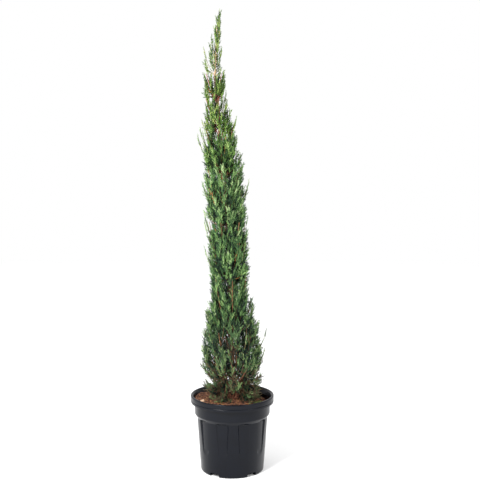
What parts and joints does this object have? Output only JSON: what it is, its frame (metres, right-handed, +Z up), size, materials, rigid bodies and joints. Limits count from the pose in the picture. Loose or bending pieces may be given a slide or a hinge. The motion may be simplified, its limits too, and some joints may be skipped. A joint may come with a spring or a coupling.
{
  "type": "potted italian cypress tree",
  "caption": "Young columnar cypress with dense upright feathery foliage, leaning slightly to a thin tip, in a round ribbed black plastic nursery pot with a rolled lip.",
  "frame": {"origin": "on the ground at the centre of the pot's foot", "axes": "+Z up along the tree; -Y is the front; the tip leans to -X"},
  "size_m": [0.3548, 0.3548, 1.929],
  "materials": {
    "pot_plastic": "satin black, moulded, lightly scuffed",
    "potting_mix": "rough, loose bark and coir",
    "bark": "rough, stringy",
    "foliage_deep": "matt scale leaves, deep blue-green",
    "foliage_mid": "matt scale leaves, mid green",
    "foliage_light": "matt scale leaves, yellow-green"
  },
  "bodies": {
    "root": {"pot": "pot_plastic", "potting_mix": "potting_mix", "trunk": "bark", "bough_skirt_1": "bark", "bough_skirt_2": "bark", "bough_skirt_3": "bark", "bough_skirt_4": "bark", "bough_skirt_5": "bark", "bough_skirt_6": "bark", "bough_skirt_7": "bark", "bough_skirt_8": "bark", "bough_lower_1": "bark", "bough_lower_2": "bark", "bough_lower_3": "bark", "bough_lower_4": "bark", "bough_lower_5": "bark", "bough_lower_6": "bark", "foliage_skirt_1": "foliage_deep", "foliage_skirt_2": "foliage_deep", "foliage_skirt_3": "foliage_deep", "foliage_skirt_4": "foliage_deep", "foliage_skirt_5": "foliage_deep", "foliage_skirt_6": "foliage_deep", "foliage_skirt_7": "foliage_deep", "foliage_skirt_8": "foliage_deep", "foliage_lower_1": "foliage_deep", "foliage_lower_2": "foliage_deep", "foliage_lower_3": "foliage_deep", "foliage_lower_4": "foliage_deep", "foliage_lower_5": "foliage_deep", "foliage_lower_6": "foliage_deep", "foliage_waist_1": "foliage_deep", "foliage_waist_2": "foliage_deep", "foliage_waist_3": "foliage_deep", "foliage_waist_4": "foliage_deep", "foliage_waist_5": "foliage_deep", "foliage_waist_6": "foliage_deep", "foliage_belly_1": "foliage_mid", "foliage_belly_2": "foliage_mid", "foliage_belly_3": "foliage_mid", "foliage_belly_4": "foliage_mid", "foliage_belly_5": "foliage_mid", "foliage_belly_6": "foliage_mid", "foliage_upper_1": "foliage_mid", "foliage_upper_2": "foliage_mid", "foliage_upper_3": "foliage_mid", "foliage_upper_4": "foliage_mid", "foliage_upper_5": "foliage_mid", "foliage_neck_1": "foliage_mid", "foliage_neck_2": "foliage_mid", "foliage_neck_3": "foliage_mid", "foliage_neck_4": "foliage_mid", "foliage_spire_1": "foliage_light", "foliage_spire_2": "foliage_light", "foliage_spire_3": "foliage_light", "foliage_leader_1": "foliage_light"}
  },
  "joints": []
}
